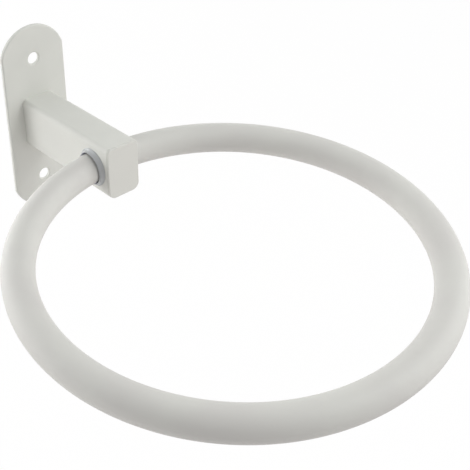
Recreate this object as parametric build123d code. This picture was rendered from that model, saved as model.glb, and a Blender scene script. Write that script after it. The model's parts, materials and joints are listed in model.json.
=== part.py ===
from build123d import *
import math
import os

# Wall-mounted towel ring, in millimetres. The origin is the centre of the wall plate's back
# face, +Z is up, +Y points into the wall and +X is to the right of someone who faces the wall.
# A flat plate carries a box-section arm. A round tube bent to a full ring swings in two
# plastic bushes near the arm's end, and its two ends meet on a spigot hidden in the arm.

# Wall plate: a blanked flat bar with arched ends and two screw holes
PLATE_WIDTH = 40.0
PLATE_HEIGHT = 114.0
PLATE_THICKNESS = 2.0
PLATE_ARCH_RADIUS = 21.0
PLATE_EDGE_RADIUS = 0.9
SCREW_HOLE_RADIUS = 3.5
SCREW_SPACING = 75.0
SCREW_HOLE_EDGE = 0.6

# Arm: hollow box standing square off the plate, with tight corners above and rounder ones below
ARM_WIDTH = 20.0
ARM_HEIGHT = 30.0
ARM_WALL = 2.0
ARM_TOP_RADIUS = 2.5
ARM_BOTTOM_RADIUS = 4.5
LEAST_CORNER = 0.3
ARM_REACH = 80.0
ARM_END_CHAMFER = 0.2

# End cap: a flange that carries the arm's outline on, and a plug inside the arm
CAP_FLANGE = 1.2
CAP_INSET = 0.1
CAP_EDGE_RADIUS = 0.5
CAP_SEAM_CHAMFER = 0.2
CAP_FIT = 0.1
CAP_WALL = 1.2
CAP_BUSH_CLEARANCE = 0.3
CAP_TONGUE_DEPTH = 11.0
CAP_TONGUE_WIDTH = 10.0
CAP_RIB = 1.0

# Ring: round tube bent to one circle
RING_RADIUS = 100.0
RING_TUBE_RADIUS = 8.0
RING_TUBE_WALL = 1.5
RING_JOINT_GAP = 0.4
RING_SETBACK = 13.5

# How the ring lies at rest: a little below level, and askew by the play of its bushes
RING_DROOP = 3.6
RING_LEAN = 1.7
RING_SIDE_TURN = 1.7

# Spigot: bent rod inside the two ends of the ring
SPIGOT_FIT = 0.1
SPIGOT_LENGTH = 36.0
SPIGOT_CHAMFER = 0.8

# Bushes: flanged plastic sleeves that snap into the arm's side walls
BUSH_PLAY = 1.0
BUSH_BARREL_WALL = 1.1
BUSH_FIT = 0.1
BUSH_FLANGE_RADIUS = 11.0
BUSH_FLANGE_THICKNESS = 2.6
BUSH_RIM_THICKNESS = 0.5
BUSH_MOUTH_CHAMFER = 0.3
BUSH_SNAP_HEIGHT = 0.4
BUSH_SNAP_LENGTH = 1.5

# Places that follow from the sizes above
ARM_LENGTH = ARM_REACH - PLATE_THICKNESS - CAP_FLANGE
SWING_Y = -(ARM_REACH - RING_SETBACK)
BUSH_BORE_RADIUS = RING_TUBE_RADIUS + BUSH_PLAY
BUSH_BARREL_RADIUS = BUSH_BORE_RADIUS + BUSH_BARREL_WALL
SIDE_HOLE_RADIUS = BUSH_BARREL_RADIUS + BUSH_FIT
BUSH_SNAP_RADIUS = SIDE_HOLE_RADIUS + BUSH_SNAP_HEIGHT
CAP_PLUG_INSET = ARM_WALL + CAP_FIT
# The cap's rim stops short of the bushes' snap lips
CAP_RIM_DEPTH = RING_SETBACK - CAP_FLANGE - BUSH_SNAP_RADIUS - CAP_BUSH_CLEARANCE
# The tube curves away from the swing axis between the arm's side faces by this much
RING_BOW = RING_RADIUS - math.sqrt(RING_RADIUS**2 - (ARM_WIDTH / 2) ** 2)


def arched_outline():
    """Plate outline: straight sides, each end one arc a little flatter than a half circle."""
    side, top = PLATE_WIDTH / 2, PLATE_HEIGHT / 2
    corner = top - PLATE_ARCH_RADIUS + math.sqrt(PLATE_ARCH_RADIUS**2 - side**2)
    upper = ThreePointArc((-side, corner), (0, top), (side, corner))
    lower = ThreePointArc((side, -corner), (0, -top), (-side, -corner))
    right = Line((side, corner), (side, -corner))
    left = Line((-side, -corner), (-side, corner))
    return make_face(upper + right + lower + left)


def wall_plate():
    """Flat plate with its back face on the wall, front edges softened, two screw holes."""
    outline = arched_outline() - GridLocations(0, SCREW_SPACING, 1, 2) * Circle(SCREW_HOLE_RADIUS)
    plate = extrude(Plane.XZ * outline, amount=PLATE_THICKNESS)
    front = plate.faces().sort_by(Axis.Y)[0]
    plate = fillet(front.outer_wire().edges(), PLATE_EDGE_RADIUS)
    front = plate.faces().filter_by(Axis.Y).sort_by(Axis.Y)[0]
    rims = [edge for wire in front.inner_wires() for edge in wire.edges()]
    return fillet(rims, SCREW_HOLE_EDGE)


def arm_outline(inset):
    """The arm's outer outline moved inwards by the inset, its four corners rounded."""
    outline = Rectangle(ARM_WIDTH - 2 * inset, ARM_HEIGHT - 2 * inset)
    top = outline.vertices().group_by(Axis.Y)[-1]
    outline = fillet(top, max(ARM_TOP_RADIUS - inset, LEAST_CORNER))
    bottom = outline.vertices().group_by(Axis.Y)[0]
    return fillet(bottom, max(ARM_BOTTOM_RADIUS - inset, LEAST_CORNER))


def arm_tube():
    """Hollow section from the plate to the cap, with a bush hole through each side wall."""
    section = arm_outline(0) - arm_outline(ARM_WALL)
    arm = extrude(Plane.XZ.offset(PLATE_THICKNESS) * section, amount=ARM_LENGTH)
    rim = arm.faces().sort_by(Axis.Y)[0].outer_wire().edges()
    arm = chamfer(rim, ARM_END_CHAMFER)
    drill = Cylinder(SIDE_HOLE_RADIUS, 2 * ARM_WIDTH)
    return arm - Pos(0, SWING_Y, 0) * Rot(0, 90, 0) * drill


def arm_end_cap():
    """Moulded cap: rounded flange, short rim, and two tongues that pass over and under the ring."""
    back = Plane.XZ.offset(ARM_REACH - CAP_FLANGE)
    flange = extrude(back * arm_outline(CAP_INSET), amount=CAP_FLANGE)
    flange = fillet(flange.faces().sort_by(Axis.Y)[0].edges(), CAP_EDGE_RADIUS)
    flange = chamfer(flange.faces().sort_by(Axis.Y)[-1].edges(), CAP_SEAM_CHAMFER)
    rim = arm_outline(CAP_PLUG_INSET) - arm_outline(CAP_PLUG_INSET + CAP_WALL)
    plug = extrude(back * rim, amount=-CAP_RIM_DEPTH)
    tongue_place = (ARM_HEIGHT - CAP_WALL) / 2 - CAP_PLUG_INSET
    for side in (1, -1):
        tongue = Pos(0, side * tongue_place) * Rectangle(CAP_TONGUE_WIDTH, CAP_WALL)
        plug += extrude(back * tongue, amount=-CAP_TONGUE_DEPTH)
        for place in (-1, 1):
            rib_x = place * (CAP_TONGUE_WIDTH - CAP_RIB) / 2
            rib = Pos(rib_x, side * (tongue_place - CAP_WALL)) * Rectangle(CAP_RIB, CAP_WALL)
            plug += extrude(back * rib, amount=-CAP_TONGUE_DEPTH)
    return flange + plug


def ring_frame():
    """Frame of the bent ring: its centre at the origin, the arm towards local +Y."""
    rest = Pos(0, SWING_Y, 0) * Rot(RING_DROOP, 0, 0)
    askew = Rot(0, -RING_LEAN, 0) * Rot(0, 0, -RING_SIDE_TURN)
    return rest * askew * Pos(0, -(RING_RADIUS - RING_BOW), 0)


def bent_round(section, degrees, start):
    """The section revolved about the ring's axis, from the start angle on."""
    swept = revolve(Plane.XZ * Pos(RING_RADIUS, 0) * section, Axis.Z, degrees)
    return ring_frame() * Rot(0, 0, start) * swept


def ring():
    """Round tube bent to a full circle, its two ends facing each other inside the arm."""
    gap = math.degrees(RING_JOINT_GAP / RING_RADIUS)
    section = Circle(RING_TUBE_RADIUS) - Circle(RING_TUBE_RADIUS - RING_TUBE_WALL)
    return bent_round(section, 360 - gap, 90 + gap / 2)


def ring_spigot():
    """Rod bent like the ring, inside both of its ends."""
    turn = math.degrees(SPIGOT_LENGTH / RING_RADIUS)
    section = Circle(RING_TUBE_RADIUS - RING_TUBE_WALL - SPIGOT_FIT)
    rod = bent_round(section, turn, 90 - turn / 2)
    ends = rod.faces().filter_by(GeomType.PLANE).edges()
    return chamfer(ends, SPIGOT_CHAMFER)


def bush():
    """Right-hand bush, turned about the swing axis: domed flange outside, snap lip inside."""
    outside = ARM_WIDTH / 2
    inside = outside - ARM_WALL
    inner_end = inside - BUSH_SNAP_LENGTH
    crown = outside + BUSH_FLANGE_THICKNESS
    shoulder = outside + BUSH_RIM_THICKNESS
    mouth = BUSH_BORE_RADIUS + BUSH_MOUTH_CHAMFER
    half_way = (0.35 * shoulder + 0.65 * crown, 0.35 * mouth + 0.65 * BUSH_FLANGE_RADIUS)
    body = Polyline(
        (crown, mouth),
        (crown - BUSH_MOUTH_CHAMFER, BUSH_BORE_RADIUS),
        (inner_end, BUSH_BORE_RADIUS),
        (inner_end, BUSH_BARREL_RADIUS - BUSH_SNAP_HEIGHT),
        (inside - BUSH_FIT - BUSH_SNAP_HEIGHT, BUSH_SNAP_RADIUS),
        (inside - BUSH_FIT, BUSH_SNAP_RADIUS),
        (inside - BUSH_FIT, BUSH_BARREL_RADIUS),
        (outside, BUSH_BARREL_RADIUS),
        (outside, BUSH_FLANGE_RADIUS),
        (shoulder, BUSH_FLANGE_RADIUS),
    )
    dome = ThreePointArc((shoulder, BUSH_FLANGE_RADIUS), half_way, (crown, mouth))
    turned = revolve(Plane.XZ * make_face(body + dome), Axis.X)
    return Pos(0, SWING_Y, 0) * turned


def main():
    os.makedirs("parts", exist_ok=True)
    right = bush()
    pieces = {
        "wall_plate": wall_plate(),
        "arm_tube": arm_tube(),
        "arm_end_cap": arm_end_cap(),
        "right_bush": right,
        "left_bush": mirror(right, Plane.YZ),
        "ring": ring(),
        "ring_spigot": ring_spigot(),
    }
    for name, shape in pieces.items():
        export_step(shape, f"parts/{name}.step")


main()
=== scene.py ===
"""White wall-mounted towel ring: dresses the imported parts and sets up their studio."""

import json
import math

import bmesh
import bpy
from mathutils import Matrix, Vector


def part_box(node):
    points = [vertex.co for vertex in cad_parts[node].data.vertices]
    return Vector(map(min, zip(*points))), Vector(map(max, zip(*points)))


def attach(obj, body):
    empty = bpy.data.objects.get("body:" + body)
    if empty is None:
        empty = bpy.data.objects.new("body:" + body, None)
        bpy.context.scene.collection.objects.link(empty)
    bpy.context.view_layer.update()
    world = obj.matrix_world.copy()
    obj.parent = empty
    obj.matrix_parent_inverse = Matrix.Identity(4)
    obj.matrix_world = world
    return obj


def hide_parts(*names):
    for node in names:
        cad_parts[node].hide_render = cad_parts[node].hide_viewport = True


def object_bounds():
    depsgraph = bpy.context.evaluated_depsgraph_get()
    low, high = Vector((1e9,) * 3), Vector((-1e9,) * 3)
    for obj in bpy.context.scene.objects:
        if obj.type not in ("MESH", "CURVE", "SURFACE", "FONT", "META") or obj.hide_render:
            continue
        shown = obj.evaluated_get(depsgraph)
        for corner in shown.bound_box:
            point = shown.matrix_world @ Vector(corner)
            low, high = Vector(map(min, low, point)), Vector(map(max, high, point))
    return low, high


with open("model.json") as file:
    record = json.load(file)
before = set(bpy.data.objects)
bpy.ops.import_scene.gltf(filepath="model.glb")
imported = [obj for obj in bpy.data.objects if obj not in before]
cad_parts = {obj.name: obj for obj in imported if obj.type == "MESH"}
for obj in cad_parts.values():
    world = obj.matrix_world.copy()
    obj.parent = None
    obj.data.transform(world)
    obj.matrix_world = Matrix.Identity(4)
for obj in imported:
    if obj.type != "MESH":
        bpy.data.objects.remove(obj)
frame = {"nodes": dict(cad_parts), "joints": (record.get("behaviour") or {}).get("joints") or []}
CAD_LOW, CAD_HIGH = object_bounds()

bl_info = {
    "name": "Towel Ring",
    "version": (1, 0, 0),
    "blender": (4, 5, 0),
    "location": "View3D > Sidebar > Towel Ring",
    "description": "Builds a powder-coated towel ring on its wall bracket, and a studio for it",
    "category": "Add Mesh",
}

MM = 0.001

PLATE_LOW, PLATE_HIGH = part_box("wall_plate")
ARM_LOW, ARM_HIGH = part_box("arm_tube")
CAP_LOW, CAP_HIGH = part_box("arm_end_cap")
SWING_AXIS = Vector(frame["joints"][0]["pos_m"])

# How far apart two places may lie and still count as one, when parts of a mesh are picked
NEAR = 0.005 * MM
MERGE_DISTANCE = 0.001 * MM
SMOOTH_ANGLE = math.radians(32)

# How many steps a round form is made of
ARCH_STEPS = 256
TURNED_STEPS = 128
TUBE_STEPS = 64
RING_STEPS = 300
CORNER_STEPS = 10
EDGE_STEPS = 6
BROKEN_EDGE_STEPS = 3
HOLE_EDGE_STEPS = 5
FLANGE_STEPS = 10


def linear(code):
    """Linear red, green, blue and alpha of an sRGB colour written as hex text."""
    channels = [int(code[at : at + 2], 16) / 255 for at in (1, 3, 5)]
    return (*[c / 12.92 if c <= 0.04045 else ((c + 0.055) / 1.055) ** 2.4 for c in channels], 1.0)


def length(label, meaning, size):
    """A length property, with its default in metres."""
    return bpy.props.FloatProperty(
        name=label, description=meaning, default=size, min=0.0, unit="LENGTH", precision=5
    )


def angle(label, meaning, degrees):
    """An angle property, with its default in degrees."""
    return bpy.props.FloatProperty(
        name=label, description=meaning, default=math.radians(degrees), subtype="ANGLE"
    )


def colour(label, meaning, code):
    """A colour property, with its default as sRGB hex text."""
    return bpy.props.FloatVectorProperty(
        name=label,
        description=meaning,
        default=linear(code),
        size=4,
        min=0.0,
        max=1.0,
        subtype="COLOR",
    )


class TOWELRING_PG_plate(bpy.types.PropertyGroup):
    """Sizes of the wall plate."""

    width: length("Width", "Plate width", PLATE_HIGH.x - PLATE_LOW.x)
    height: length("Height", "Plate height over its arched ends", PLATE_HIGH.z - PLATE_LOW.z)
    thickness: length("Thickness", "Plate thickness", PLATE_HIGH.y - PLATE_LOW.y)
    arch_radius: length("Arch radius", "Radius of the arched ends", 21 * MM)
    edge_radius: length("Edge radius", "Rounding of the front outline", 0.9 * MM)
    hole_radius: length("Hole radius", "Radius of the screw holes", 3.5 * MM)
    hole_spacing: length("Hole spacing", "Distance between the screw holes", 75 * MM)
    hole_edge: length("Hole edge", "Rounding of the screw holes' front edge", 0.6 * MM)


class TOWELRING_PG_arm(bpy.types.PropertyGroup):
    """Sizes of the arm and its end cap."""

    wall: length("Wall", "Wall thickness of the hollow section", 2 * MM)
    top_radius: length("Top radius", "Outer radius of the arm's two upper corners", 2.5 * MM)
    bottom_radius: length("Bottom radius", "Outer radius of the arm's two lower corners", 4.5 * MM)
    least_corner: length("Least corner", "Radius of inner corners that would be tighter", 0.3 * MM)
    end_chamfer: length("End chamfer", "Broken edge at the open end", 0.2 * MM)
    hole_clearance: length("Hole clearance", "Play round each bush barrel", 0.1 * MM)
    cap_flange: length("Cap flange", "Thickness of the cap that shows", 1.2 * MM)
    cap_inset: length("Cap inset", "How far the cap stays inside the arm's outline", 0.1 * MM)
    cap_edge: length("Cap edge", "Rounding of the cap's front edge", 0.5 * MM)
    cap_seam: length("Cap seam", "Chamfer of the cap's back edge", 0.2 * MM)
    cap_fit: length("Cap fit", "Play between the cap's plug and the arm", 0.1 * MM)
    cap_wall: length("Cap wall", "Wall thickness of the plug's rim and tongues", 1.2 * MM)
    cap_rim_depth: length("Cap rim depth", "How far the plug's rim reaches into the arm", 1.4 * MM)
    tongue_width: length("Tongue width", "Width of the cap's two tongues", 10 * MM)
    tongue_rib: length("Tongue rib", "Thickness of the ribs along the tongues", 1 * MM)


class TOWELRING_PG_bush(bpy.types.PropertyGroup):
    """Sizes of the two bushes."""

    bore_radius: length("Bore radius", "Radius of the bore that the ring passes through", 9 * MM)
    barrel_wall: length("Barrel wall", "Wall thickness of the barrel", 1.1 * MM)
    flange_radius: length("Flange radius", "Outer radius of the flange", 10.6 * MM)
    flange_thickness: length("Flange thickness", "Flange thickness at its crown", 2.6 * MM)
    rim_thickness: length("Rim thickness", "Flange thickness at its outer rim", 0.1 * MM)
    dome: bpy.props.FloatProperty(
        name="Dome", description="Flange: hollow below 0, a cone at 0, a dome at 1", default=-0.4
    )
    mouth_lip: length("Mouth lip", "Thickness of the thin lip at the bore's mouth", 0.4 * MM)
    lip_reach: length("Lip reach", "How far the lip reaches in towards the tube", 0.1 * MM)
    snap_height: length("Snap height", "Height of the snap lip over its hole", 0.4 * MM)
    snap_length: length("Snap length", "Length of the barrel past the arm's wall", 1.5 * MM)
    wall_play: length("Wall play", "Gap between the snap lip and the arm's wall", 0.1 * MM)


class TOWELRING_PG_ring(bpy.types.PropertyGroup):
    """Sizes of the ring and how it lies in its bushes."""

    radius: length("Radius", "Radius of the tube's centre line", 100 * MM)
    tube_radius: length("Tube radius", "Outer radius of the tube", 8 * MM)
    tube_wall: length("Tube wall", "Wall thickness of the tube", 1.5 * MM)
    joint_gap: length("Joint gap", "Gap between the tube's ends, inside the arm", 0.4 * MM)
    droop: angle("Droop", "How far the ring hangs below level", 3.6)
    lean: angle("Lean", "How far the ring leans to one side in its bushes", 1.7)
    side_turn: angle("Side turn", "How far the ring is turned to one side in its bushes", 1.7)


class TOWELRING_PG_finish(bpy.types.PropertyGroup):
    """Colours of the finishes."""

    coat: colour("Bracket coat", "Powder coat of plate and arm where it lies thick", "#D6D7D1")
    coat_thin: colour("Thin bracket coat", "Powder coat of plate and arm where it lies thin", "#D1D2CC")
    # The ring's coat is warmer than the bracket's as painted light, standing in for warm light bounced up
    # onto the ring from below
    ring_coat: colour("Ring coat", "Powder coat of the ring where it lies thick", "#D0D0CB")
    ring_coat_thin: colour("Thin ring coat", "Powder coat of the ring where it lies thin", "#CCCBC7")
    cap: colour("Cap", "Moulded cap", "#D3D3CD")
    bush: colour("Bush", "Unpigmented nylon of the bushes", "#BCC0C4")
    steel: colour("Steel", "Bright drawn steel of the spigot", "#B8B7B2")
    floor: colour("Floor", "Studio floor", "#F2EEEE")


class TOWELRING_PG_studio(bpy.types.PropertyGroup):
    """Camera and light."""

    camera_place: bpy.props.FloatVectorProperty(
        name="Camera place",
        description="Where the camera stands",
        default=(-0.25837, -0.42098, 0.26023),
        subtype="TRANSLATION",
    )
    camera_turn: bpy.props.FloatVectorProperty(
        name="Camera turn",
        description="How the camera is turned",
        default=[math.radians(degrees) for degrees in (58.0865, 0.5594, -41.3306)],
        subtype="EULER",
    )
    camera_lens: bpy.props.FloatProperty(
        name="Lens", description="Focal length in millimetres", default=73.006, subtype="DISTANCE_CAMERA"
    )
    camera_shift: bpy.props.FloatVectorProperty(
        name="Shift",
        description="Sideways and upward shift, as shares of the picture",
        default=(0.1204, -0.1201),
        size=2,
    )
    floor_level: bpy.props.FloatProperty(
        name="Floor level",
        description="Height of the floor, clear below the ring when it hangs straight down",
        default=-0.30,
        unit="LENGTH",
    )
    floor_size: length("Floor size", "Side of the square floor", 6.0)
    sky: bpy.props.FloatProperty(
        name="Sky", description="Strength of the even light from all round", default=0.43
    )


GROUPS = {
    "plate": TOWELRING_PG_plate,
    "arm": TOWELRING_PG_arm,
    "bush": TOWELRING_PG_bush,
    "ring": TOWELRING_PG_ring,
    "finish": TOWELRING_PG_finish,
    "studio": TOWELRING_PG_studio,
}


def near(a, b):
    """Whether two places along one line are the same."""
    return abs(a - b) < NEAR


def leave_edit_mode():
    """Back to object mode with nothing selected."""
    if bpy.context.object and bpy.context.object.mode == "EDIT":
        bpy.ops.object.mode_set(mode="OBJECT")
    bpy.ops.object.select_all(action="DESELECT")


def select_only(piece):
    """Back to object mode with only this piece selected."""
    leave_edit_mode()
    piece.select_set(True)
    bpy.context.view_layer.objects.active = piece


def start_piece(name):
    """Names the primitive just added, puts its place into its mesh and opens it for editing."""
    piece = bpy.context.object
    piece.name = piece.data.name = name
    bpy.ops.object.transform_apply(location=True, rotation=True, scale=True)
    bpy.ops.object.mode_set(mode="EDIT")
    return piece


def add_block(name, low, high):
    """A cube between two corners, opened for editing."""
    leave_edit_mode()
    low, high = Vector(low), Vector(high)
    bpy.ops.mesh.primitive_cube_add(size=1, location=(low + high) / 2, scale=high - low)
    return start_piece(name)


def pick(piece, kind, test):
    """Selects the vertices, edges or faces whose middle passes the test."""
    bpy.ops.mesh.select_mode(type=kind)
    bpy.ops.mesh.select_all(action="DESELECT")
    mesh = bmesh.from_edit_mesh(piece.data)
    parts = {"VERT": mesh.verts, "EDGE": mesh.edges, "FACE": mesh.faces}[kind]
    for part in parts:
        corners = [part.co] if kind == "VERT" else [corner.co for corner in part.verts]
        part.select_set(test(sum(corners, Vector()) / len(corners)))
    mesh.select_flush_mode()
    bmesh.update_edit_mesh(piece.data)


def bevel(size, segments):
    """Rounds the selected edges."""
    bpy.ops.mesh.bevel(offset=size, segments=segments, profile=0.5, affect="EDGES")


def add_section(name, sizes, inset, from_y, to_y):
    """A solid bar of the arm's outline moved inwards by the inset, tight corners above."""
    low = Vector((ARM_LOW.x + inset, from_y, ARM_LOW.z + inset))
    high = Vector((ARM_HIGH.x - inset, to_y, ARM_HIGH.z - inset))
    bar = add_block(name, low, high)
    middle = (from_y + to_y) / 2
    for radius, level in ((sizes.top_radius, high.z), (sizes.bottom_radius, low.z)):
        pick(bar, "EDGE", lambda at, level=level: near(at.y, middle) and near(at.z, level))
        bevel(max(radius - inset, sizes.least_corner), CORNER_STEPS)
    return bar


def extrude(**move):
    """Extrudes the selection by a move along x, y or z."""
    way = [move.get(axis, 0.0) for axis in "xyz"]
    bpy.ops.mesh.extrude_region_move(TRANSFORM_OT_translate={"value": way})


def apply_modifier(piece, kind, **settings):
    """Adds a modifier with its settings and applies it."""
    select_only(piece)
    bpy.ops.object.modifier_add(type=kind)
    modifier = piece.modifiers[-1]
    for setting, value in settings.items():
        setattr(modifier, setting, value)
    bpy.ops.object.modifier_apply(modifier=modifier.name)


def combine(piece, other, operation):
    """Cuts another mesh out of a piece, or adds it, and removes the other mesh."""
    apply_modifier(piece, "BOOLEAN", object=other, operation=operation, solver="EXACT")
    bpy.data.objects.remove(other)


def add_turned(name, points, centre, axis, capped):
    """A circle pulled ring by ring along x or y, through (place, radius) points."""
    along = Vector((1, 0, 0)) if axis == "x" else Vector((0, 1, 0))
    centre = Vector(centre)
    leave_edit_mode()
    bpy.ops.mesh.primitive_circle_add(
        vertices=TURNED_STEPS,
        radius=points[0][1],
        fill_type="NGON" if capped else "NOTHING",
        location=centre + along * points[0][0],
        rotation=(0, math.pi / 2, 0) if axis == "x" else (math.pi / 2, 0, 0),
    )
    piece = start_piece(name)
    bpy.ops.mesh.select_mode(type="EDGE")
    bpy.ops.mesh.select_all(action="SELECT")
    for (from_place, from_radius), (to_place, to_radius) in zip(points, points[1:]):
        move = along * (to_place - from_place)
        bpy.ops.mesh.extrude_edges_move(TRANSFORM_OT_translate={"value": move})
        scale = to_radius / from_radius
        bpy.ops.transform.resize(
            value=[1 if part else scale for part in along], center_override=centre + along * to_place
        )
    if capped:
        bpy.ops.mesh.edge_face_add()
    tidy_mesh(piece)
    return piece


def quarter_turn(steps):
    """Sines and cosines of the angles along a quarter circle, both ends included."""
    angles = [math.pi / 2 * step / steps for step in range(steps + 1)]
    return [(math.sin(each), math.cos(each)) for each in angles]


def tidy_mesh(piece):
    """Merges doubles and turns every face outwards."""
    select_only(piece)
    bpy.ops.object.mode_set(mode="EDIT")
    bpy.ops.mesh.select_all(action="SELECT")
    bpy.ops.mesh.remove_doubles(threshold=MERGE_DISTANCE)
    bpy.ops.mesh.normals_make_consistent(inside=False)
    leave_edit_mode()


def finish_piece(piece, material, body, node):
    """Shades a piece, gives it its finish, and lets it stand for its solid on a body."""
    select_only(piece)
    bpy.ops.object.shade_smooth_by_angle(angle=SMOOTH_ANGLE)
    apply_modifier(piece, "WEIGHTED_NORMAL", keep_sharp=True)
    piece.data.materials.clear()
    piece.data.materials.append(material)
    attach(piece, body)
    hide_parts(node)


def add_node(tree, kind, settings=None, **inputs):
    """Adds a shader node. An input is given as a value, or as a (node, output) pair to link."""
    node = tree.nodes.new("ShaderNode" + kind)
    for setting, value in (settings or {}).items():
        setattr(node, setting, value)
    for name, value in inputs.items():
        # Socket names have blanks where the argument names have underscores
        socket = node.inputs[name.replace("_", " ")]
        if isinstance(value, tuple) and isinstance(value[0], bpy.types.Node):
            tree.links.new(value[0].outputs[value[1]], socket)
        else:
            socket.default_value = value
    return node


def new_material(name):
    """An empty node material and its tree."""
    material = bpy.data.materials.new(name)
    material.use_nodes = True
    material.node_tree.nodes.clear()
    return material, material.node_tree


def powder_coat(name, thick, thin):
    """White polyester powder, sprayed on and baked: satin, with a faint orange peel.

    The eye sees a soft sheen that breaks up slightly, and hardly any change of tone.
    """
    material, tree = new_material(name)
    place = (add_node(tree, "TexCoord"), "Object")
    peel_width, grain_width, film_width = 2.2 * MM, 0.7 * MM, 30 * MM
    film = add_node(tree, "TexNoise", Vector=place, Scale=1 / film_width, Detail=3.0)
    tone = add_node(tree, "ValToRGB", Fac=(film, "Fac"))
    tone.color_ramp.elements[0].position, tone.color_ramp.elements[1].position = 0.35, 0.65
    tone.color_ramp.elements[0].color = thin
    tone.color_ramp.elements[1].color = thick
    peel = add_node(tree, "TexNoise", Vector=place, Scale=1 / peel_width, Detail=1.5)
    # Powder grit is about 0.05 mm across, drawn coarser here so that it shows
    grain = add_node(tree, "TexNoise", Vector=place, Scale=1 / grain_width, Detail=2.0)
    sheen = add_node(
        tree, "MapRange", Value=(grain, "Fac"), From_Min=0.3, From_Max=0.7, To_Min=0.56, To_Max=0.64
    )
    dimples = add_node(tree, "Bump", Height=(peel, "Fac"), Strength=1.0, Distance=0.015 * MM)
    grit = add_node(
        tree, "Bump", Height=(grain, "Fac"), Strength=1.0, Distance=0.003 * MM, Normal=(dimples, "Normal")
    )
    shader = add_node(
        tree,
        "BsdfPrincipled",
        Base_Color=(tone, "Color"),
        Roughness=(sheen, "Result"),
        Normal=(grit, "Normal"),
        IOR=1.5,
    )
    add_node(tree, "OutputMaterial", Surface=(shader, "BSDF"))
    return material


def bracket_coat():
    """The powder coat of the plate and the arm, which are coated together once welded."""
    finish = bpy.context.scene.towel_ring.finish
    return powder_coat("satin_white_powder_coat_bracket", finish.coat, finish.coat_thin)


def ring_coat():
    """The powder coat of the ring, coated on its own and a touch darker than the bracket's. Its warmer
    tint is painted light: it stands in for warm light bounced up onto the ring from below.
    """
    finish = bpy.context.scene.towel_ring.finish
    return powder_coat("satin_white_powder_coat_ring", finish.ring_coat, finish.ring_coat_thin)


def cap_plastic():
    """White polypropylene, moulded against a spark-eroded tool: matt, with a fine even texture."""
    material, tree = new_material("matt_white_moulded_polypropylene")
    finish = bpy.context.scene.towel_ring.finish
    place = (add_node(tree, "TexCoord"), "Object")
    texture_width, flow_width = 0.5 * MM, 12 * MM
    flow = add_node(tree, "TexNoise", Vector=place, Scale=1 / flow_width, Detail=2.0)
    sheen = add_node(tree, "MapRange", Value=(flow, "Fac"), To_Min=0.52, To_Max=0.62)
    # A spark-eroded texture is about 0.03 mm across, drawn coarser here so that it shows
    texture = add_node(tree, "TexNoise", Vector=place, Scale=1 / texture_width, Detail=2.0)
    bumps = add_node(tree, "Bump", Height=(texture, "Fac"), Strength=1.0, Distance=0.004 * MM)
    shader = add_node(
        tree,
        "BsdfPrincipled",
        Base_Color=finish.cap[:],
        Roughness=(sheen, "Result"),
        Normal=(bumps, "Normal"),
        IOR=1.49,
    )
    add_node(tree, "OutputMaterial", Surface=(shader, "BSDF"))
    return material


def bush_nylon():
    """Unpigmented nylon, moulded smooth: milky, faintly blue, and lit from within at thin rims."""
    material, tree = new_material("natural_translucent_nylon")
    finish = bpy.context.scene.towel_ring.finish
    place = (add_node(tree, "TexCoord"), "Object")
    flow_width = 3 * MM
    flow = add_node(tree, "TexNoise", Vector=place, Scale=1 / flow_width, Detail=2.0)
    sheen = add_node(tree, "MapRange", Value=(flow, "Fac"), To_Min=0.28, To_Max=0.38)
    waves = add_node(tree, "Bump", Height=(flow, "Fac"), Strength=1.0, Distance=0.02 * MM)
    shader = add_node(
        tree,
        "BsdfPrincipled",
        Base_Color=finish.bush[:],
        Roughness=(sheen, "Result"),
        Normal=(waves, "Normal"),
        IOR=1.53,
        Subsurface_Weight=0.5,
        Subsurface_Radius=(1.0, 1.0, 1.2),
        Subsurface_Scale=6.0 * MM,
    )
    add_node(tree, "OutputMaterial", Surface=(shader, "BSDF"))
    return material


def spigot_steel():
    """Bright drawn steel rod: grey metal with fine die lines along its length."""
    material, tree = new_material("bright_drawn_steel")
    finish = bpy.context.scene.towel_ring.finish
    place = (add_node(tree, "TexCoord"), "Object")
    # Die lines are about 0.05 mm wide, drawn coarser here so that they show
    line_width, line_length = 0.3 * MM, 12 * MM
    stretched = add_node(
        tree, "Mapping", Vector=place, Scale=(1 / line_length, 1 / line_width, 1 / line_width)
    )
    lines = add_node(tree, "TexNoise", Vector=(stretched, "Vector"), Scale=1.0, Detail=2.0)
    sheen = add_node(tree, "MapRange", Value=(lines, "Fac"), To_Min=0.25, To_Max=0.42)
    shader = add_node(
        tree,
        "BsdfPrincipled",
        Base_Color=finish.steel[:],
        Metallic=1.0,
        Roughness=(sheen, "Result"),
    )
    add_node(tree, "OutputMaterial", Surface=(shader, "BSDF"))
    return material


FINISHES = {}


def finish_named(name, make):
    """The finish of that name, made once and then shared."""
    if name not in FINISHES:
        FINISHES[name] = make()
    return FINISHES[name]


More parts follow.
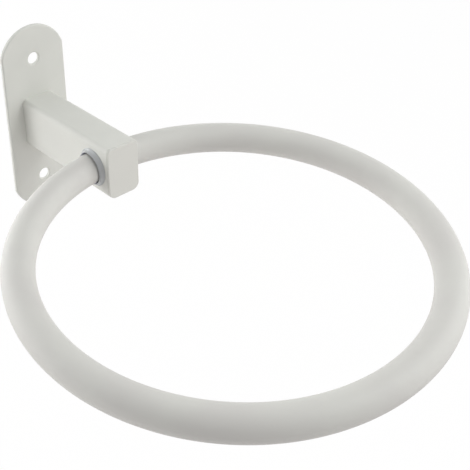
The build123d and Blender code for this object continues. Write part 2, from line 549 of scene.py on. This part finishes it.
class TOWELRING_OT_wall_plate(bpy.types.Operator):
    """Flat plate with arched ends and two screw holes, from a disc pulled long and trimmed"""

    bl_idname = "towelring.wall_plate"
    bl_label = "Wall Plate"

    def hole_profile(self, sizes, front, back):
        """Places and radii of a screw hole, from in front of its rounded edge to behind the plate."""
        reach, edge, radius = sizes.thickness, sizes.hole_edge, sizes.hole_radius
        rounded = [
            (front + edge * (1 - cosine), radius + edge * (1 - sine))
            for sine, cosine in quarter_turn(HOLE_EDGE_STEPS)
        ]
        return [(front - reach, radius + edge), *rounded, (back + reach, radius)]

    def execute(self, context):
        sizes = context.scene.towel_ring.plate
        back, front = PLATE_HIGH.y, PLATE_HIGH.y - sizes.thickness
        arch_centre = sizes.height / 2 - sizes.arch_radius
        leave_edit_mode()
        bpy.ops.mesh.primitive_circle_add(
            vertices=ARCH_STEPS,
            radius=sizes.arch_radius,
            fill_type="NGON",
            location=(0, back, arch_centre),
            rotation=(math.pi / 2, 0, 0),
        )
        plate = start_piece("wall_plate_coated")
        pick(plate, "VERT", lambda at: at.z < arch_centre - NEAR)
        bpy.ops.transform.translate(value=(0, 0, -2 * arch_centre))
        for side in (1, -1):
            bpy.ops.mesh.select_all(action="SELECT")
            bpy.ops.mesh.bisect(
                plane_co=(side * sizes.width / 2, 0, 0), plane_no=(side, 0, 0), clear_outer=True
            )
        bpy.ops.mesh.select_all(action="SELECT")
        extrude(y=front - back)
        pick(plate, "EDGE", lambda at: near(at.y, front))
        bevel(sizes.edge_radius, EDGE_STEPS)
        tidy_mesh(plate)
        for side in (1, -1):
            centre = (0, 0, side * sizes.hole_spacing / 2)
            drill = add_turned("screw_drill", self.hole_profile(sizes, front, back), centre, "y", True)
            combine(plate, drill, "DIFFERENCE")
        coat = finish_named("bracket_coat", bracket_coat)
        finish_piece(plate, coat, "bracket", "wall_plate")
        return {"FINISHED"}


class TOWELRING_OT_arm(bpy.types.Operator):
    """Hollow rectangular arm with round corners, drilled through for the bushes"""

    bl_idname = "towelring.arm"
    bl_label = "Arm"

    def execute(self, context):
        settings = context.scene.towel_ring
        sizes, bush = settings.arm, settings.bush
        arm = add_section("arm_coated", sizes, 0.0, ARM_LOW.y, ARM_HIGH.y)
        pick(arm, "EDGE", lambda at: near(at.y, ARM_LOW.y))
        bevel(sizes.end_chamfer, BROKEN_EDGE_STEPS)
        tidy_mesh(arm)
        inside = add_section(
            "arm_inside", sizes, sizes.wall, ARM_LOW.y - sizes.wall, ARM_HIGH.y + sizes.wall
        )
        tidy_mesh(inside)
        combine(arm, inside, "DIFFERENCE")
        hole = bush.bore_radius + bush.barrel_wall + sizes.hole_clearance
        reach = 2 * ARM_HIGH.x
        drill = add_turned("bush_drill", [(-reach, hole), (reach, hole)], SWING_AXIS, "x", True)
        combine(arm, drill, "DIFFERENCE")
        coat = finish_named("bracket_coat", bracket_coat)
        finish_piece(arm, coat, "bracket", "arm_tube")
        return {"FINISHED"}


class TOWELRING_OT_end_cap(bpy.types.Operator):
    """Moulded cap that closes the arm, with its plug and two ribbed tongues"""

    bl_idname = "towelring.end_cap"
    bl_label = "End Cap"

    def execute(self, context):
        sizes = context.scene.towel_ring.arm
        front, seat = CAP_LOW.y, CAP_LOW.y + sizes.cap_flange
        cap = add_section("end_cap_moulded", sizes, sizes.cap_inset, front, seat)
        pick(cap, "EDGE", lambda at: near(at.y, seat))
        bevel(sizes.cap_seam, segments=1)
        pick(cap, "EDGE", lambda at: near(at.y, front))
        bevel(sizes.cap_edge, EDGE_STEPS)
        tidy_mesh(cap)
        # The plug starts inside the flange, so that the two join as one solid
        root = seat - sizes.cap_flange / 4
        plug_inset = sizes.wall + sizes.cap_fit
        rim = add_section("cap_rim", sizes, plug_inset, root, seat + sizes.cap_rim_depth)
        tidy_mesh(rim)
        hollow = add_section(
            "cap_hollow", sizes, plug_inset + sizes.cap_wall, root - sizes.wall, CAP_HIGH.y + sizes.wall
        )
        tidy_mesh(hollow)
        combine(rim, hollow, "DIFFERENCE")
        combine(cap, rim, "UNION")
        top = ARM_HIGH.z - plug_inset
        for side in (1, -1):
            shelf = side * (top - sizes.cap_wall), side * top
            ribs = side * (top - 2 * sizes.cap_wall), side * (top - sizes.cap_wall / 2)
            self.add_tongue(cap, root, -sizes.tongue_width / 2, sizes.tongue_width, shelf)
            for rib in (-sizes.tongue_width / 2, sizes.tongue_width / 2 - sizes.tongue_rib):
                self.add_tongue(cap, root, rib, sizes.tongue_rib, ribs)
        tidy_mesh(cap)
        finish_piece(cap, finish_named("cap", cap_plastic), "bracket", "arm_end_cap")
        return {"FINISHED"}

    def add_tongue(self, cap, root, left, width, heights):
        """Joins one bar of a tongue to the cap, rooted a little inside its flange."""
        low = (left, root, min(heights))
        high = (left + width, CAP_HIGH.y, max(heights))
        bar = add_block("tongue_bar", low, high)
        leave_edit_mode()
        combine(cap, bar, "UNION")


class TOWELRING_OT_bushes(bpy.types.Operator):
    """Two flanged snap-in bushes, the right one pulled ring by ring along its profile"""

    bl_idname = "towelring.bushes"
    bl_label = "Bushes"

    def profile(self, settings):
        """Places along the swing axis and radii, from the bore's mouth in, round and back."""
        sizes = settings.bush
        outside = ARM_HIGH.x
        inside = outside - settings.arm.wall
        inner_end = inside - sizes.snap_length
        crown = outside + sizes.flange_thickness
        shoulder = outside + sizes.rim_thickness
        mouth = sizes.bore_radius - sizes.lip_reach
        barrel = sizes.bore_radius + sizes.barrel_wall
        lip = barrel + settings.arm.hole_clearance + sizes.snap_height
        lip_face = inside - sizes.wall_play
        points = [
            (crown, mouth),
            (crown - sizes.mouth_lip, mouth),
            (crown - 2 * sizes.mouth_lip, sizes.bore_radius),
            (inner_end, sizes.bore_radius),
            (inner_end, barrel - sizes.snap_height),
            (lip_face - sizes.snap_height, lip),
            (lip_face, lip),
            (lip_face, barrel),
            (outside, barrel),
            (outside, sizes.flange_radius),
            (shoulder, sizes.flange_radius),
        ]
        # The flange's face from rim to mouth, between a quarter circle and a straight line
        for sine, cosine in quarter_turn(FLANGE_STEPS)[1:]:
            straight = cosine / (sine + cosine)
            rise = sizes.dome * sine + (1 - sizes.dome) * (1 - straight)
            spread = sizes.dome * cosine + (1 - sizes.dome) * straight
            along = shoulder + (crown - shoulder) * rise
            radius = mouth + (sizes.flange_radius - mouth) * spread
            points.append((along, radius))
        return points

    def execute(self, context):
        settings = context.scene.towel_ring
        right = add_turned("right_bush_moulded", self.profile(settings), SWING_AXIS, "x", False)
        right.select_set(True)
        bpy.ops.object.duplicate()
        left = context.object
        left.name = left.data.name = "left_bush_moulded"
        bpy.ops.object.mode_set(mode="EDIT")
        bpy.ops.mesh.select_all(action="SELECT")
        bpy.ops.transform.resize(value=(-1, 1, 1), center_override=(0, 0, 0))
        tidy_mesh(left)
        nylon = finish_named("nylon", bush_nylon)
        finish_piece(right, nylon, "bracket", "right_bush")
        finish_piece(left, nylon, "bracket", "left_bush")
        return {"FINISHED"}


class TOWELRING_OT_ring(bpy.types.Operator):
    """Round tube spun to a full ring whose two ends face each other inside the arm"""

    bl_idname = "towelring.ring"
    bl_label = "Ring"

    def execute(self, context):
        settings = context.scene.towel_ring
        sizes = settings.ring
        half_width = ARM_HIGH.x
        bow = sizes.radius - math.sqrt(sizes.radius**2 - half_width**2)
        lie = (
            Matrix.Translation(SWING_AXIS)
            @ Matrix.Rotation(sizes.droop, 4, "X")
            @ Matrix.Rotation(-sizes.lean, 4, "Y")
            @ Matrix.Rotation(-sizes.side_turn, 4, "Z")
            @ Matrix.Translation((0, bow - sizes.radius, 0))
        )
        gap = sizes.joint_gap / sizes.radius
        start = lie @ Matrix.Rotation(math.pi / 2 + gap / 2, 4, "Z")
        section = start @ Matrix.Translation((sizes.radius, 0, 0)) @ Matrix.Rotation(math.pi / 2, 4, "X")
        leave_edit_mode()
        bpy.ops.mesh.primitive_circle_add(
            vertices=TUBE_STEPS,
            radius=sizes.tube_radius,
            location=section.to_translation(),
            rotation=section.to_euler(),
        )
        ring = start_piece("ring_coated")
        bpy.ops.mesh.select_all(action="SELECT")
        bpy.ops.mesh.spin(
            steps=RING_STEPS,
            angle=2 * math.pi - gap,
            center=lie.to_translation(),
            axis=lie.to_3x3() @ Vector((0, 0, 1)),
        )
        tidy_mesh(ring)
        apply_modifier(ring, "SOLIDIFY", thickness=sizes.tube_wall, offset=-1.0, use_even_offset=True)
        finish_piece(ring, finish_named("ring_coat", ring_coat), "ring", "ring")
        return {"FINISHED"}


class TOWELRING_OT_spigot(bpy.types.Operator):
    """Steel for the spigot that joins the ring's ends, out of sight in the arm"""

    bl_idname = "towelring.spigot"
    bl_label = "Spigot"

    def execute(self, context):
        spigot = frame["nodes"]["ring_spigot"]
        spigot.data.materials.clear()
        spigot.data.materials.append(finish_named("steel", spigot_steel))
        return {"FINISHED"}


# Soft lamps: name, direction round and up in degrees, strength in watts
LAMPS = [
    ("back", 180, 8, 3.0),
    ("left_back", -150, 8, 5.9),
    ("left_back_high", -135, 45, 0.6),
    ("left", -120, 8, 3.3),
    ("right_front", 30, 8, 1.1),
    ("right_front_high", 45, 45, 8.1),
    ("right", 60, 8, 1.6),
    ("right_back", 150, 8, 1.0),
]
LAMP_SIDE = 0.8
LAMP_DISTANCE = 1.2

# How much of the floor the camera sees as plain white, the rest being its lit surface
FLOOR_WHITE = 0.97

# Width of a full-frame sensor in millimetres
SENSOR_WIDTH = 36.0


def hidden_white(tree, shader, share):
    """Mixes a shader with plain white, by the share, where camera, gloss or clear pieces see it."""
    rays = add_node(tree, "LightPath")
    seen = rays.outputs["Is Camera Ray"]
    for kind in ("Is Glossy Ray", "Is Transmission Ray"):
        either = add_node(tree, "Math", {"operation": "MAXIMUM"})
        tree.links.new(seen, either.inputs[0])
        tree.links.new(rays.outputs[kind], either.inputs[1])
        seen = either.outputs[0]
    part = add_node(tree, "Math", {"operation": "MULTIPLY"})
    tree.links.new(seen, part.inputs[0])
    part.inputs[1].default_value = share
    mix = add_node(tree, "MixShader", Fac=(part, "Value"))
    tree.links.new(shader, mix.inputs[1])
    return mix


class TOWELRING_OT_studio(bpy.types.Operator):
    """Pale floor, even sky, soft lamps and the camera"""

    bl_idname = "towelring.studio"
    bl_label = "Studio"

    def add_floor(self, settings):
        """A wide pale floor, level, clear below everything the ring sweeps through."""
        studio = settings.studio
        leave_edit_mode()
        bpy.ops.mesh.primitive_plane_add(size=studio.floor_size, location=(0, 0, studio.floor_level))
        floor = start_piece("floor")
        leave_edit_mode()
        material, tree = new_material("pale_matt_floor")
        matt = add_node(tree, "BsdfDiffuse", Color=settings.finish.floor[:])
        white = add_node(tree, "Emission", Color=(1, 1, 1, 1), Strength=1.0)
        mix = hidden_white(tree, matt.outputs["BSDF"], FLOOR_WHITE)
        tree.links.new(white.outputs["Emission"], mix.inputs[2])
        add_node(tree, "OutputMaterial", Surface=(mix, "Shader"))
        floor.data.materials.append(material)

    def add_sky(self, settings):
        """Even light from all round, plain white to the camera."""
        world = bpy.data.worlds.new("studio_sky")
        world.use_nodes = True
        tree = world.node_tree
        tree.nodes.clear()
        sky = add_node(tree, "Background", Color=(1, 1, 1, 1), Strength=settings.studio.sky)
        white = add_node(tree, "Background", Color=(1, 1, 1, 1), Strength=1.0)
        mix = hidden_white(tree, sky.outputs["Background"], 1.0)
        tree.links.new(white.outputs["Background"], mix.inputs[2])
        add_node(tree, "OutputWorld", Surface=(mix, "Shader"))
        bpy.context.scene.world = world

    def add_lamp(self, name, round_angle, up_angle, watts):
        """A square soft lamp that faces the middle of the object from the way the angles give."""
        leave_edit_mode()
        turn, rise = math.radians(round_angle), math.radians(up_angle)
        way = Vector((math.sin(turn) * math.cos(rise), -math.cos(turn) * math.cos(rise), math.sin(rise)))
        place = (CAD_LOW + CAD_HIGH) / 2 + way * LAMP_DISTANCE
        facing = way.to_track_quat("Z", "Y").to_euler()
        bpy.ops.object.light_add(type="AREA", location=place, rotation=facing)
        lamp = bpy.context.object
        lamp.name = "lamp_" + name
        lamp.data.shape = "SQUARE"
        lamp.data.size = LAMP_SIDE
        lamp.data.energy = watts
        lamp.visible_camera = False

    def add_camera(self, settings):
        """The camera at the photograph's viewpoint."""
        studio = settings.studio
        leave_edit_mode()
        bpy.ops.object.camera_add(location=studio.camera_place, rotation=studio.camera_turn)
        camera = bpy.context.object
        camera.name = "camera"
        camera.data.lens = studio.camera_lens
        camera.data.sensor_width = SENSOR_WIDTH
        camera.data.shift_x, camera.data.shift_y = studio.camera_shift
        bpy.context.scene.camera = camera

    def execute(self, context):
        settings = context.scene.towel_ring
        self.add_floor(settings)
        self.add_sky(settings)
        for lamp in LAMPS:
            self.add_lamp(*lamp)
        self.add_camera(settings)
        context.scene.view_settings.view_transform = "Standard"
        return {"FINISHED"}


OPERATORS = [
    TOWELRING_OT_wall_plate,
    TOWELRING_OT_arm,
    TOWELRING_OT_end_cap,
    TOWELRING_OT_bushes,
    TOWELRING_OT_ring,
    TOWELRING_OT_spigot,
    TOWELRING_OT_studio,
]


class TowelRingSettings(bpy.types.PropertyGroup):
    """Everything a user may change about the towel ring."""

    plate: bpy.props.PointerProperty(type=TOWELRING_PG_plate)
    arm: bpy.props.PointerProperty(type=TOWELRING_PG_arm)
    bush: bpy.props.PointerProperty(type=TOWELRING_PG_bush)
    ring: bpy.props.PointerProperty(type=TOWELRING_PG_ring)
    finish: bpy.props.PointerProperty(type=TOWELRING_PG_finish)
    studio: bpy.props.PointerProperty(type=TOWELRING_PG_studio)


class TOWELRING_PT_panel(bpy.types.Panel):
    """Sidebar panel with the sizes, the colours and a button for each piece"""

    bl_idname = "TOWELRING_PT_panel"
    bl_label = "Towel Ring"
    bl_space_type = "VIEW_3D"
    bl_region_type = "UI"
    bl_category = "Towel Ring"

    def draw(self, context):
        layout = self.layout
        for operator in OPERATORS:
            layout.operator(operator.bl_idname)
        for name, group in GROUPS.items():
            box = layout.box()
            box.label(text=name.capitalize())
            for setting in group.__annotations__:
                box.prop(getattr(context.scene.towel_ring, name), setting)


def register():
    for group in GROUPS.values():
        bpy.utils.register_class(group)
    bpy.utils.register_class(TowelRingSettings)
    for operator in OPERATORS:
        bpy.utils.register_class(operator)
    bpy.utils.register_class(TOWELRING_PT_panel)
    bpy.types.Scene.towel_ring = bpy.props.PointerProperty(type=TowelRingSettings)


def unregister():
    del bpy.types.Scene.towel_ring
    bpy.utils.unregister_class(TOWELRING_PT_panel)
    for operator in reversed(OPERATORS):
        bpy.utils.unregister_class(operator)
    bpy.utils.unregister_class(TowelRingSettings)
    for group in reversed(GROUPS.values()):
        bpy.utils.unregister_class(group)


def main():
    register()
    leave_edit_mode()
    bpy.ops.towelring.wall_plate()
    bpy.ops.towelring.arm()
    bpy.ops.towelring.end_cap()
    bpy.ops.towelring.bushes()
    bpy.ops.towelring.ring()
    bpy.ops.towelring.spigot()
    bpy.ops.towelring.studio()


if __name__ == "__main__":
    main()
